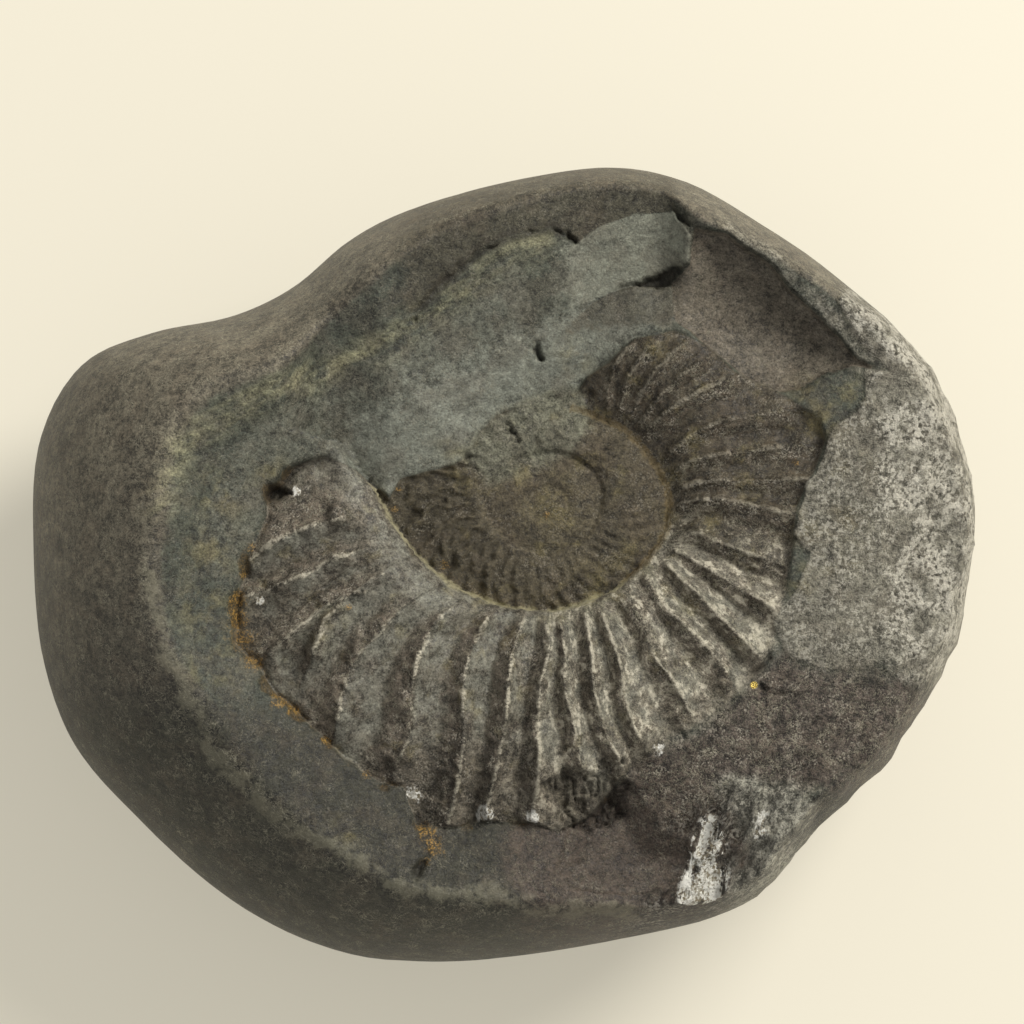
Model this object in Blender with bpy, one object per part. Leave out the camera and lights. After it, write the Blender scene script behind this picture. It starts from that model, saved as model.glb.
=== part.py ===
"""A river-worn stone, broken open on top to show an ammonite. It is one solid.

The shape is worked out in millimetres and the finished mesh is in metres. +Z is up, X runs along
the stone's length, and the origin is under the middle of the stone on the face that it rests on.
"""

import math

import bmesh
import bpy
import numpy as np

MM = 0.001

# The worn outside of the stone
WAIST_HEIGHT = 18.5  # height of the widest outline above the base
DOME_TOP = 43.0  # where the dome would peak if its top had not broken away
DOME_BOTTOM = -0.9  # below the base plane, so that the underside is cut flat there
UNDERSIDE_FULLNESS = 2.7
BASE_CUT_DEPTH = 10.0
OUTLINE = (
    (42.5, 4), (41.2, -6), (38.3, -12), (34.5, -18), (29, -23.2), (24.2, -29), (19.5, -32), (11, -34),
    (2, -35.4), (-7, -36), (-15, -35), (-24, -30.8), (-33, -23.2), (-39, -16.5), (-42, -8), (-42.8, 2),
    (-42.2, 11), (-38.5, 17.8), (-32, 20.7), (-25, 22.2), (-19.5, 24.8), (-14, 29.2), (-7, 32.5),
    (2, 34.9), (10, 35.9), (17, 34.4), (24, 30.2), (31, 25), (37, 19.7), (41, 12.5),
)
# How square the shoulder is: (direction in degrees, power of the curve)
SHOULDER_FULLNESS = ((0, 5), (45, 6), (90, 5.5), (135, 3.2), (180, 2.9), (225, 2.35), (270, 3.1), (315, 5))
RIM_ROUNDING = 1.6

# Heights of the broken face, (x, y, z): the worn lobe and rim, then the ledge round the fossil,
# then the rough ground on the right
FACE_SPOTS = (
    (-30, 4, 37.2), (-26, -12, 36.0), (-22, -20, 35.2), (-9, -28.5, 33.2), (9, -31, 30.4),
    (-28, 12, 37.4), (-20, 15.5, 37.0), (-12, 19.5, 36.8), (-6, 24, 36.8), (0, 29, 36.6), (15, 31, 35.8),
    (-25, 5, 34.6), (-25.5, -7.5, 34.0), (-20, -13.5, 33.4), (-14, -19, 32.8), (-8, -24.5, 31.8),
    (0, -25.5, 31.2), (-16, 13, 35), (-3, 18, 33.8), (3, 23.5, 34.6), (12, 24, 33.6), (2, 12.5, 31.5),
    (-9, 9, 32.2), (22, 22, 31), (29, 20, 31.4), (26, 27, 33.6), (33, 15, 32.2), (30, 5, 32.4),
    (36, 5, 30.8), (40, 3, 28), (30, -5, 31.4), (36, -8, 29.4), (24, -14, 30.8), (32, -16, 28.5),
    (18, -18, 30.4), (22, -25, 28.8), (18, -30, 27.6), (10, -26, 29.6),
)

# Outlines on the break: a slab that still stands on it, and two scoops out of it
SLAB = (
    (0.6, 28.5), (4.3, 30.2), (6.4, 29.4), (9, 31), (12, 32.2), (15.5, 32.2), (17.1, 29.7),
    (16.9, 27.6), (14.8, 27.1), (13, 26.2), (10.6, 25.3), (6.7, 23.8), (3.6, 22.4), (2.5, 24.5), (1.5, 26.9),
)
HOLLOW = (
    (17.1, 30.8), (20.4, 30), (23.9, 27.8), (27, 24.5), (28.8, 23), (30.3, 21.3), (32.3, 19.2),
    (35.1, 17.8), (32.3, 18.2), (29.5, 17.5), (27, 16.1), (25.3, 15.9), (22.5, 17.1), (19, 19.6),
    (17, 21.5), (15.5, 22.5), (15.2, 25.8), (16.9, 27.6),
)
SCOOP = (
    (9.5, -18), (12, -20), (13.5, -22), (14.3, -23.8), (16.5, -24.5), (17.2, -26), (16.8, -27.5),
    (15, -29), (11, -30), (6.5, -29.3), (4.5, -27.5), (5.5, -25), (6, -22),
)
# How far each lies below the face, and the width of the bank down to it
STEPS = ((SLAB, -0.55, 0.4), (HOLLOW, 1.9, 2.5), (SCOOP, 1.4, 2.5))
# Places on the break are drawn on a plan that is a little larger than the outline's
PLAN_SCALE = 0.979
PLAN_SHIFT = (0.02, -1.44)

# The ammonite. Directions are in degrees round its middle, anticlockwise from +X, and its last
# whorl grows clockwise from 80 down to -195. Radii are from its middle.
MIDDLE = (4.2, 6.0)
BED_HEIGHT = 30.4  # level of the sunken inner whorls
BED_SLOPE = -0.04
INNER_SEAM = ((140, 5.2), (100, 4.6), (20, 5.0), (-60, 4.3), (-140, 5.0), (-195, 5.9))
OUTER_SEAM = (
    (80, 8.9), (60, 9.1), (28, 10), (5, 10.9), (-13, 10.9), (-39, 10), (-70, 9.6), (-103, 10),
    (-125, 10.8), (-147, 12.1), (-168, 13.8), (-184, 15.9), (-195, 19.5),
)
WHORL_EDGE = (
    (80, 21), (60, 23), (45, 26), (30, 30), (10, 28), (-10, 26), (-30, 27), (-50, 28), (-70, 31),
    (-90, 33), (-125, 34), (-152, 34), (-165, 32.5), (-180, 30), (-195, 27),
)
EYE_RADIUS = 1.6
WHORL_MOUTH = -195  # degrees: where the last whorl breaks off
LAST_WHORL_RISE = 1.3
RISE_PER_WIDTH = 0.11
# The wall over the inner whorls is steep on the left and sinks to a low one on the right
WALL_SINKS_FROM, WALL_SINKS_TO = -50, -10  # degrees
STEEP_FOOT, LOW_FOOT = 0.4, 1.0  # depth of its foot below the bed
STEEP_ARCH, LOW_ARCH = (0.6, 0.75), (1.0, 1.1)  # skew and roundness
FLAT_FROM, FLAT_TO = 13.0, 25.0  # x over which the last whorl comes down to the level of the face
FLAT_DEPTH = 0.3
RIB_DEPTH = 1.4
RIB_CREST = 0.45  # height of the crests above the whorl's own surface
RIB_START = 0.35  # share of the way across at which a rib is fully grown
# Level below the bed and rise of the inner whorls and of the eye
SECOND_WHORL, FIRST_WHORL, EYE = (0.95, 0.75), (1.0, 0.4), (0.95, 0.25)
INNER_ARCH = (0.7, 0.8)
RIB_DIRECTIONS = (
    -187, -174, -164, -156, -141, -130, -117, -103, -88, -76, -66, -55, -43, -34, -25, -16, -7, 2, 8,
    16, 26, 38, 46, 54, 62, 70,
)
# Where the fossil shows, going round it
WINDOW = (
    (-16, 9.9), (-19, 9), (-21.3, 7), (-21.7, 4.5), (-23.2, 0.5), (-24.3, -3.5), (-24.7, -7.2),
    (-22.5, -9), (-20.8, -11.8), (-17.5, -14.5), (-14.5, -17.5), (-11.5, -19.6), (-9, -20.4),
    (-7.8, -23.6), (-5, -23.9), (-1, -23.2), (2.5, -23.4), (5, -24.1), (7.5, -23), (11, -19),
    (12, -17), (17, -14.5), (20.5, -12), (23.5, -9), (25, -4.5), (26, 0), (26.4, 3), (27, 6),
    (28.5, 9), (29.2, 11.5), (29, 13.6), (27, 14.8), (24.5, 16.5), (21, 18), (18.5, 20.3),
    (15.5, 21.8), (12, 20.8), (9.5, 18.8), (7.6, 17.6), (6.6, 16.2), (4.5, 15.8), (1.5, 15),
    (-0.5, 14.2), (-2.2, 12.6), (-3, 10.7), (-4.5, 9.4), (-7, 8.9), (-9.5, 8), (-10.5, 6.4),
    (-11.5, 7.3), (-13.3, 8.8),
)
WINDOW_EDGE = 0.5
# Above the coil the rock lies on the fossil as a thin cover that thickens away from it
COVER = 0.15
COVER_SLOPE = 0.38
COVER_ROUNDING = 0.8
COVER_LEFT, COVER_RIGHT, COVER_FRONT = (-21, -15), (20, 14), (5, 8)  # where it fades out
HIDDEN_FROM, HIDDEN_TO = 56, 80  # degrees: the last whorl goes under the cover

# The mesh
SPHERE_SUBDIVISIONS = 6
FINE_ABOVE = 0.55  # height on the unit sphere above which the mesh is divided once more
KEEP = 0.3  # share of the triangles kept
EVEN_SIDE, EVEN_TOP = 0.95, 0.9  # powers that keep the steps even over a flat top and a steep side
CUTTER_WIDTH = 120.0


def smooth_loop(points, steps):
    """The points of a closed curve that passes smoothly through the given ones."""
    knots = np.array(points, float)
    before, after, beyond = (np.roll(knots, shift, 0) for shift in (1, -1, -2))
    curve = []
    for t in np.linspace(0, 1, steps, endpoint=False):
        curve.append(0.5 * (2 * knots + (after - before) * t
                            + (2 * before - 5 * knots + 4 * after - beyond) * t ** 2
                            + (3 * knots - before - 3 * after + beyond) * t ** 3))
    return np.stack(curve, 1).reshape(-1, 2)


def outline_radius(direction):
    curve = smooth_loop(OUTLINE, 16)
    angle = np.arctan2(curve[:, 1], curve[:, 0])
    order = np.argsort(angle)
    return np.interp(direction, angle[order], np.hypot(*curve.T)[order], period=math.tau)


def shoulder_fullness(direction):
    """Cosine blend between the values given round the stone."""
    powers = np.array([power for _, power in SHOULDER_FULLNESS])
    place = (direction % math.tau) / math.tau * len(powers)
    low = np.floor(place).astype(int) % len(powers)
    blend = 0.5 - 0.5 * np.cos(math.pi * (place - np.floor(place)))
    return mix(powers[low], powers[(low + 1) % len(powers)], blend)


def soft_lower(a, b, width):
    """The lower of two heights, rounded where they meet."""
    h = np.clip(0.5 + 0.5 * (b - a) / width, 0, 1)
    return b * (1 - h) + a * h - width * h * (1 - h)


def ramp(low, high, value):
    t = np.clip((value - low) / (high - low), 0, 1)
    return t * t * (3 - 2 * t)


def mix(a, b, share):
    return a + (b - a) * share


def along(table, direction):
    """A value read off a (direction, value) table."""
    knots = np.array(table, float)
    order = np.argsort(knots[:, 0])
    return np.interp(direction, knots[order, 0], knots[order, 1])


def bend(r_squared):
    """The thin-plate spring function."""
    return 0.5 * r_squared * np.log(np.maximum(r_squared, 1e-12))


def broken_face(x, y):
    """A springy plate through the spot heights."""
    spots = np.array(FACE_SPOTS, float)
    count = len(spots)
    gaps = spots[:, None, :2] - spots[None, :, :2]
    plane = np.c_[np.ones(count), spots[:, :2]]
    system = np.block([[bend((gaps ** 2).sum(2)), plane], [plane.T, np.zeros((3, 3))]])
    weights = np.linalg.solve(system, np.r_[spots[:, 2], 0, 0, 0])
    height = weights[count] + weights[count + 1] * x + weights[count + 2] * y
    for (spot_x, spot_y, _), weight in zip(spots, weights):
        height = height + weight * bend((x - spot_x) ** 2 + (y - spot_y) ** 2)
    return height


def depth_inside(x, y, corners):
    """Distance to the edge of a polygon: positive inside it, negative outside."""
    distance = np.full(x.shape, 1e9)
    inside = np.zeros(x.shape, bool)
    for (ax, ay), (bx, by) in zip(corners, corners[1:] + corners[:1]):
        run, rise = bx - ax, by - ay
        t = np.clip(((x - ax) * run + (y - ay) * rise) / (run ** 2 + rise ** 2), 0, 1)
        distance = np.minimum(distance, np.hypot(x - ax - t * run, y - ay - t * rise))
        if rise:
            inside ^= ((ay > y) != (by > y)) & (x < run * (y - ay) / rise + ax)
    return np.where(inside, distance, -distance)


def coil(across, skew, roundness):
    """Cross-section of a whorl: 0 at its seams and 1 on its crown."""
    return np.sin(math.pi * np.clip(across, 0, 1) ** skew) ** roundness


def rib_valleys(direction):
    """0 on a rib's crest and 1 in the middle of the flute between two ribs."""
    crests = np.array((-200,) + RIB_DIRECTIONS + (80,), float)
    place = np.clip(np.searchsorted(crests, direction) - 1, 0, len(crests) - 2)
    across = np.clip((direction - crests[place]) / (crests[place + 1] - crests[place]), 0, 1)
    return 1 - np.abs(2 * across - 1) ** 1.8


def ammonite(x, y):
    """The fossil's height, and that of its surface without ribs, on which the cover lies."""
    radius = np.hypot(x - MIDDLE[0], y - MIDDLE[1])
    turn = np.degrees(np.arctan2(y - MIDDLE[1], x - MIDDLE[0]))
    turn = np.where(turn > 100, turn - 360, turn)
    inner, seam, edge = (along(table, turn) for table in (INNER_SEAM, OUTER_SEAM, WHORL_EDGE))
    bed = BED_HEIGHT + BED_SLOPE * x
    on_last = (radius > seam) & (turn < HIDDEN_TO) & (turn > WHORL_MOUTH)

    across = (radius - seam) / (edge - seam)
    low = ramp(WALL_SINKS_FROM, WALL_SINKS_TO, turn)
    skew, roundness = (mix(steep, flat, low) for steep, flat in zip(STEEP_ARCH, LOW_ARCH))
    rise = LAST_WHORL_RISE + RISE_PER_WIDTH * (edge - seam)
    last = bed - mix(STEEP_FOOT, LOW_FOOT, low) + rise * coil(across, skew, roundness)
    last = mix(last, broken_face(x, y) - FLAT_DEPTH, ramp(FLAT_FROM, FLAT_TO, x))
    strength = ramp(0, RIB_START, across) * mix(1, 0.5, low)
    ribbed = last + (RIB_CREST - RIB_DEPTH * rib_valleys(turn)) * strength

    second_across = (radius - inner) / (seam - inner)
    second = bed - SECOND_WHORL[0] + SECOND_WHORL[1] * coil(second_across, *INNER_ARCH)
    first_across = (radius - EYE_RADIUS) / (inner - EYE_RADIUS)
    first = bed - FIRST_WHORL[0] + FIRST_WHORL[1] * coil(first_across, *INNER_ARCH)
    eye = bed - EYE[0] + EYE[1] * (1 - (radius / EYE_RADIUS) ** 2)
    inside = np.where(radius < EYE_RADIUS, eye, np.where(radius < inner, first, second))
    covered = np.where(on_last, mix(last, inside, ramp(HIDDEN_FROM, HIDDEN_TO, turn)), inside)
    return np.where(on_last, ribbed, inside), covered


def top_height(plan_x, plan_y, share, power):
    """Height of the top: the worn dome, cut down to the broken face, with the fossil in it."""
    dome = WAIST_HEIGHT + (DOME_TOP - WAIST_HEIGHT) * np.sqrt(np.clip(1 - share ** power, 0, 1))
    x = (plan_x - PLAN_SHIFT[0]) / PLAN_SCALE
    y = (plan_y - PLAN_SHIFT[1]) / PLAN_SCALE
    face = broken_face(x, y)
    for outline, drop, bank in STEPS:
        face -= drop * ramp(0, bank, depth_inside(x, y, outline))
    inside = depth_inside(x, y, WINDOW)
    fossil, covered = ammonite(x, y)
    cover = soft_lower(face, covered + COVER + COVER_SLOPE * np.maximum(-inside, 0), COVER_ROUNDING)
    thin = ramp(*COVER_FRONT, y) * ramp(*COVER_RIGHT, x) * ramp(*COVER_LEFT, x)
    face = mix(mix(face, cover, thin), fossil, ramp(-WINDOW_EDGE, WINDOW_EDGE, inside))
    return soft_lower(dome, face, RIM_ROUNDING)


def under_height(share):
    drop = WAIST_HEIGHT - DOME_BOTTOM
    return WAIST_HEIGHT - drop * np.clip(1 - share ** UNDERSIDE_FULLNESS, 0, 1) ** (1 / UNDERSIDE_FULLNESS)


def shape_stone(sphere):
    """The stone's points for the points of a unit sphere."""
    direction = np.arctan2(sphere[:, 1], sphere[:, 0])
    polar = np.arccos(np.clip(np.abs(sphere[:, 2]), 0, 1)) / (math.pi / 2)
    share = np.sin(math.pi / 2 * polar ** EVEN_SIDE) ** EVEN_TOP
    reach = share * outline_radius(direction)
    plan = np.c_[reach * np.cos(direction), reach * np.sin(direction)]
    plan -= (plan.min(0) + plan.max(0)) / 2
    top = top_height(plan[:, 0], plan[:, 1], share, shoulder_fullness(direction))
    return np.c_[plan, np.where(sphere[:, 2] >= 0, top, under_height(share))] * MM


def make_stone(collection):
    mesh = bpy.data.meshes.new("ammonite_stone")
    bm = bmesh.new()
    bmesh.ops.create_icosphere(bm, subdivisions=SPHERE_SUBDIVISIONS, radius=1)
    fine = [edge for edge in bm.edges if min(v.co.z for v in edge.verts) > FINE_ABOVE]
    bmesh.ops.subdivide_edges(bm, edges=fine, cuts=1, use_grid_fill=True)
    bmesh.ops.triangulate(bm, faces=bm.faces)
    sphere = np.array([v.co.normalized() for v in bm.verts])
    for vertex, place in zip(bm.verts, shape_stone(sphere)):
        vertex.co = place
    bmesh.ops.recalc_face_normals(bm, faces=bm.faces)
    bm.to_mesh(mesh)
    bm.free()
    mesh.shade_smooth()
    stone = bpy.data.objects.new("ammonite_stone", mesh)
    collection.objects.link(stone)
    thin = stone.modifiers.new("fewer triangles", "DECIMATE")
    thin.ratio = KEEP
    thin.use_collapse_triangulate = True
    return stone


def cut_base(stone, collection):
    """A cutter below the base plane leaves the small flat face that the stone rests on."""
    bm = bmesh.new()
    bmesh.ops.create_cube(bm, size=1)
    bmesh.ops.scale(bm, vec=(CUTTER_WIDTH * MM, CUTTER_WIDTH * MM, BASE_CUT_DEPTH * MM), verts=bm.verts)
    bmesh.ops.translate(bm, vec=(0, 0, -BASE_CUT_DEPTH / 2 * MM), verts=bm.verts)
    mesh = bpy.data.meshes.new("base_cutter")
    bm.to_mesh(mesh)
    bm.free()
    cutter = bpy.data.objects.new("base_cutter", mesh)
    cutter.hide_render = True
    cutter.display_type = "WIRE"
    collection.objects.link(cutter)
    cut = stone.modifiers.new("flat base", "BOOLEAN")
    cut.operation = "DIFFERENCE"
    cut.solver = "EXACT"
    cut.object = cutter


def stone_material():
    material = bpy.data.materials.new("dark_stone")
    material.use_nodes = True
    shader = material.node_tree.nodes["Principled BSDF"]
    shader.inputs["Base Color"].default_value = (0.062, 0.058, 0.052, 1)
    shader.inputs["Roughness"].default_value = 0.62
    shader.inputs["Metallic"].default_value = 0.0
    return material


def main():
    for thing in list(bpy.data.objects):
        bpy.data.objects.remove(thing)
    parts = bpy.data.collections.new("ammonite_fossil")
    cutters = bpy.data.collections.new("cutters")
    for collection in (parts, cutters):
        bpy.context.scene.collection.children.link(collection)
    stone = make_stone(parts)
    stone.data.materials.append(stone_material())
    cut_base(stone, cutters)


main()
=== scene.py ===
# %% [markdown]
# # An ammonite in a river stone
#
# This file dresses one natural thing: a dark stone, rolled smooth by water, whose top has broken
# away to show a coiled fossil. The stone and the fossil grew together, so they are one piece and
# one mesh. The lesson is how to sculpt such a piece by code: a sphere is stretched to the stone's
# outline, its top is cut down to a broken face, and the fossil's whorls and ribs are raised on it.

# %% Load the imported model and bake its placement into its meshes
import math

import bmesh
import bpy
import numpy as np
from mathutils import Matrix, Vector


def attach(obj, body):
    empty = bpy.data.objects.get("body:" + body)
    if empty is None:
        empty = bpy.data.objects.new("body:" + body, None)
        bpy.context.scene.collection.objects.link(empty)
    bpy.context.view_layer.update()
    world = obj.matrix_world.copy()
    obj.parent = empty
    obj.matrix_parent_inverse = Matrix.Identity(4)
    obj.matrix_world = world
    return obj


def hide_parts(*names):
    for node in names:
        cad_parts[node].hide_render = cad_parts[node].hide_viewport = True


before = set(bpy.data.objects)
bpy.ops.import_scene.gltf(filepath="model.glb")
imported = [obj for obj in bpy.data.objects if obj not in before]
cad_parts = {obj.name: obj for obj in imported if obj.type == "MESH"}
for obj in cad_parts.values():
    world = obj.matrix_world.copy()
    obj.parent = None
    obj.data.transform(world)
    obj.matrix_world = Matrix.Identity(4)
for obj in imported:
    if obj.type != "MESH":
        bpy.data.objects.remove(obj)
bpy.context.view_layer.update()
MM = 0.001

# %% [markdown]
# ## The camera
#
# The stone lies on a table and is seen from nearly straight above, a little from the front. A long
# lens from over half a metre away keeps its proportions. The camera comes first, so that every
# later step can be judged through it.

# %% Camera
WAIST_HEIGHT = 18.5  # mm above the base, where the stone is widest
VIEW_CENTRE = (0.77, 4.77)  # mm
VIEW_WIDTH = 93.1  # mm seen across the picture at the height of the waist
VIEW_DISTANCE = 600.0  # mm
VIEW_ELEVATION = math.radians(84)
SENSOR = 36.0  # mm

camera_data = bpy.data.cameras.new("camera")
camera_data.sensor_width = SENSOR
camera_data.lens = SENSOR * VIEW_DISTANCE / VIEW_WIDTH
camera_data.clip_start = 0.05
camera = bpy.data.objects.new("camera", camera_data)
bpy.context.scene.collection.objects.link(camera)
view_target = Vector((*VIEW_CENTRE, WAIST_HEIGHT)) * MM
view_back = Vector((0, -math.cos(VIEW_ELEVATION), math.sin(VIEW_ELEVATION)))
camera.location = view_target + view_back * VIEW_DISTANCE * MM
camera.rotation_euler = (-view_back).to_track_quat("-Z", "Y").to_euler()
bpy.context.scene.camera = camera
print(f"lens {camera_data.lens:.0f} mm at {VIEW_DISTANCE:.0f} mm")

# %% [markdown]
# ## Tools for sculpting with numbers
#
# Each feature of the stone is a small function of the place on it, and works on all the points of
# the mesh at once. They need a few tools: a soft step, a rounded minimum, a smooth loop through
# chosen points, the distance to a line or an outline, and a grain that looks random but is the
# same each time. Lengths in these functions are millimetres.

# %% Steps and curves
def ramp(low, high, value):
    """0 below low, 1 above high, and smooth in between."""
    t = np.clip((value - low) / (high - low), 0, 1)
    return t * t * (3 - 2 * t)


def soft_lower(a, b, width):
    """The lower of two heights, rounded where they meet."""
    h = np.clip(0.5 + 0.5 * (b - a) / width, 0, 1)
    return b * (1 - h) + a * h - width * h * (1 - h)


def mix(a, b, share):
    return a + (b - a) * share


def smooth_curve(points, steps, closed):
    """A curve that passes smoothly through the points."""
    knots = np.array(points, float)
    if not closed:
        knots = np.vstack([2 * knots[0] - knots[1], knots, 2 * knots[-1] - knots[-2]])
    before, after, beyond = (np.roll(knots, shift, 0) for shift in (1, -1, -2))
    curve = []
    for t in np.linspace(0, 1, steps, endpoint=False):
        curve.append(0.5 * (2 * knots + (after - before) * t
                            + (2 * before - 5 * knots + 4 * after - beyond) * t ** 2
                            + (3 * knots - before - 3 * after + beyond) * t ** 3))
    curve = np.stack(curve, 1)
    if closed:
        return curve.reshape(-1, 2)
    return np.vstack([curve[1:-2].reshape(-1, 2), knots[-2:-1]])


def along(table, value):
    """A value read off a table of pairs, with straight lines between them."""
    knots = np.array(table, float)
    order = np.argsort(knots[:, 0])
    return np.interp(value, knots[order, 0], knots[order, 1])


def edge_distances(x, y, starts, ends):
    """For each edge: the distance to it, and how far along it the nearest point is."""
    for (ax, ay), (bx, by) in zip(starts, ends):
        run, rise = bx - ax, by - ay
        t = np.clip(((x - ax) * run + (y - ay) * rise) / (run ** 2 + rise ** 2 + 1e-12), 0, 1)
        yield np.hypot(x - ax - t * run, y - ay - t * rise), t


def line_distance(x, y, points):
    """The distance to a line through the points, and the share of its length at the nearest one."""
    points = np.array(points, float)
    nearest = np.full(x.shape, 1e9)
    share = np.zeros(x.shape)
    lengths = np.hypot(*(points[1:] - points[:-1]).T)
    starts = np.r_[0, np.cumsum(lengths)]
    for index, (distance, t) in enumerate(edge_distances(x, y, points[:-1], points[1:])):
        closer = distance < nearest
        nearest = np.where(closer, distance, nearest)
        share = np.where(closer, (starts[index] + t * lengths[index]) / starts[-1], share)
    return nearest, share


def depth_inside(x, y, corners):
    """The distance to the edge of an outline: positive inside it and negative outside."""
    nearest = np.full(x.shape, 1e9)
    for distance, _ in edge_distances(x, y, corners, corners[1:] + corners[:1]):
        nearest = np.minimum(nearest, distance)
    inside = np.zeros(x.shape, bool)
    for (ax, ay), (bx, by) in zip(corners, corners[1:] + corners[:1]):
        if ay != by:
            inside ^= ((ay > y) != (by > y)) & (x < (bx - ax) * (y - ay) / (by - ay) + ax)
    return np.where(inside, nearest, -nearest)


# %% Grain
LATTICE = 32


def grain(points, size, seed, octaves=4, sharp=False):
    """Cloudy noise in space from -1 to 1, with detail from size down. Sharp gives creased ridges."""
    values = np.random.default_rng(seed).uniform(-1, 1, (LATTICE, LATTICE, LATTICE))
    total, weights = np.zeros(len(points)), 0.0
    for octave in range(octaves):
        place = points * (2 ** octave / size) + 7.31 * octave
        cell = np.floor(place).astype(int)
        part = place - cell
        part = part * part * (3 - 2 * part)
        layer = np.zeros(len(points))
        for corner in np.ndindex(2, 2, 2):
            weight = np.prod(np.where(corner, part, 1 - part), axis=1)
            i, j, k = ((cell + corner) % LATTICE).T
            layer += weight * values[i, j, k]
        if sharp:
            layer = 1 - 2 * np.abs(layer) ** 0.7
        total += layer * 0.5 ** octave
        weights += 0.5 ** octave
    return total / weights


test_points = np.random.default_rng(1).uniform(0, 50, (1000, 3))
test_grain = grain(test_points, 3, 1)
print("grain runs from", round(test_grain.min(), 2), "to", round(test_grain.max(), 2))

# %% [markdown]
# ## The worn outside
#
# Seen from above the stone is a rounded pebble with one pinch at the upper left, where a lobe
# stands out. A few points chosen round it give the outline, and a smooth loop joins them. From the
# side it is a rounded loaf: the power of the shoulder curve says how square it is, and that changes
# round the stone.

# %% Outline and profile
DOME_TOP = 43.0
DOME_BOTTOM = -0.9
UNDERSIDE_FULLNESS = 2.7
OUTLINE = (
    (42.5, 4), (41.2, -6), (38.3, -12), (34.5, -18), (29, -23.2), (24.2, -29), (19.5, -32), (11, -34),
    (2, -35.4), (-7, -36), (-15, -35), (-24, -30.8), (-33, -23.2), (-39, -16.5), (-42, -8), (-42.8, 2),
    (-42.2, 11), (-38.5, 17.8), (-32, 20.7), (-25, 22.2), (-19.5, 24.8), (-14, 29.2), (-7, 32.5),
    (2, 34.9), (10, 35.9), (17, 34.4), (24, 30.2), (31, 25), (37, 19.7), (41, 12.5),
)
SHOULDER_FULLNESS = (5, 6, 5.5, 3.2, 2.9, 2.35, 3.1, 5)  # every 45 degrees from +X
outline_curve = smooth_curve(OUTLINE, 16, closed=True)


def outline_radius(direction):
    angle = np.arctan2(outline_curve[:, 1], outline_curve[:, 0])
    order = np.argsort(angle)
    return np.interp(direction, angle[order], np.hypot(*outline_curve.T)[order], period=math.tau)


def shoulder_fullness(direction):
    powers = np.array(SHOULDER_FULLNESS)
    place = (direction % math.tau) / math.tau * len(powers)
    low = np.floor(place).astype(int) % len(powers)
    blend = 0.5 - 0.5 * np.cos(math.pi * (place - np.floor(place)))
    return mix(powers[low], powers[(low + 1) % len(powers)], blend)


def dome_height(share, direction):
    rise = np.clip(1 - share ** shoulder_fullness(direction), 0, 1)
    return WAIST_HEIGHT + (DOME_TOP - WAIST_HEIGHT) * np.sqrt(rise)


def underside_height(share):
    drop = np.clip(1 - share ** UNDERSIDE_FULLNESS, 0, 1) ** (1 / UNDERSIDE_FULLNESS)
    return np.maximum(WAIST_HEIGHT - (WAIST_HEIGHT - DOME_BOTTOM) * drop, 0)


print("outline, mm:", np.ptp(outline_curve, axis=0).round(1))

# %% [markdown]
# ## The broken face
#
# The top has split away along an uneven surface: a high worn lobe on the left, a raised rim along
# the top, a ledge round the fossil and rough ground that falls away to the right. It is a springy
# plate through spot heights, as on a surveyor's map. The thin-plate formula finds the plate that
# bends least.

# %% Spot heights of the broken face
FACE_SPOTS = (
    (-30, 4, 37.2), (-26, -12, 36.0), (-22, -20, 35.2), (-9, -28.5, 33.2), (9, -31, 30.4),
    (-28, 12, 37.4), (-20, 15.5, 37.0), (-12, 19.5, 36.8), (-6, 24, 36.8), (0, 29, 36.6), (15, 31, 35.8),
    (-25, 5, 34.6), (-25.5, -7.5, 34.0), (-20, -13.5, 33.4), (-14, -19, 32.8), (-8, -24.5, 31.8),
    (0, -25.5, 31.2), (-16, 13, 35), (-3, 18, 33.8), (3, 23.5, 34.6), (12, 24, 33.6), (2, 12.5, 31.5),
    (-9, 9, 32.2), (22, 22, 31), (29, 20, 31.4), (26, 27, 33.6), (33, 15, 32.2), (30, 5, 32.4),
    (36, 5, 30.8), (40, 3, 28), (30, -5, 31.4), (36, -8, 29.4), (24, -14, 30.8), (32, -16, 28.5),
    (18, -18, 30.4), (22, -25, 28.8), (18, -30, 27.6), (10, -26, 29.6),
)


def bend(r_squared):
    """The thin-plate formula: how one spot pulls at the plate."""
    return 0.5 * r_squared * np.log(np.maximum(r_squared, 1e-12))


def plate_weights(spots):
    gaps = spots[:, None, :2] - spots[None, :, :2]
    plane = np.c_[np.ones(len(spots)), spots[:, :2]]
    system = np.block([[bend((gaps ** 2).sum(2)), plane], [plane.T, np.zeros((3, 3))]])
    return np.linalg.solve(system, np.r_[spots[:, 2], 0, 0, 0])


face_spots = np.array(FACE_SPOTS, float)
face_weights = plate_weights(face_spots)


def face_height(x, y):
    *pulls, level, slope_x, slope_y = face_weights
    height = level + slope_x * x + slope_y * y
    for (spot_x, spot_y, _), pull in zip(face_spots, pulls):
        height = height + pull * bend((x - spot_x) ** 2 + (y - spot_y) ** 2)
    return height


print("the face under the fossil is at", face_height(np.array([4.0]), np.array([6.0])).round(1), "mm")

# %% [markdown]
# ## The ammonite
#
# An ammonite is a tube coiled in a flat spiral. The last whorl, the widest, stands round the sunken
# inner ones and opens out clockwise, from under the grey rock at the top round to the left. All is
# worked out in directions and distances from the middle of the coil. The window is the outline
# inside which the fossil shows.

# %% Whorls
MIDDLE = (4.2, 6.0)
BED_HEIGHT = 30.4
BED_SLOPE = -0.04
EYE_RADIUS = 1.6
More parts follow.
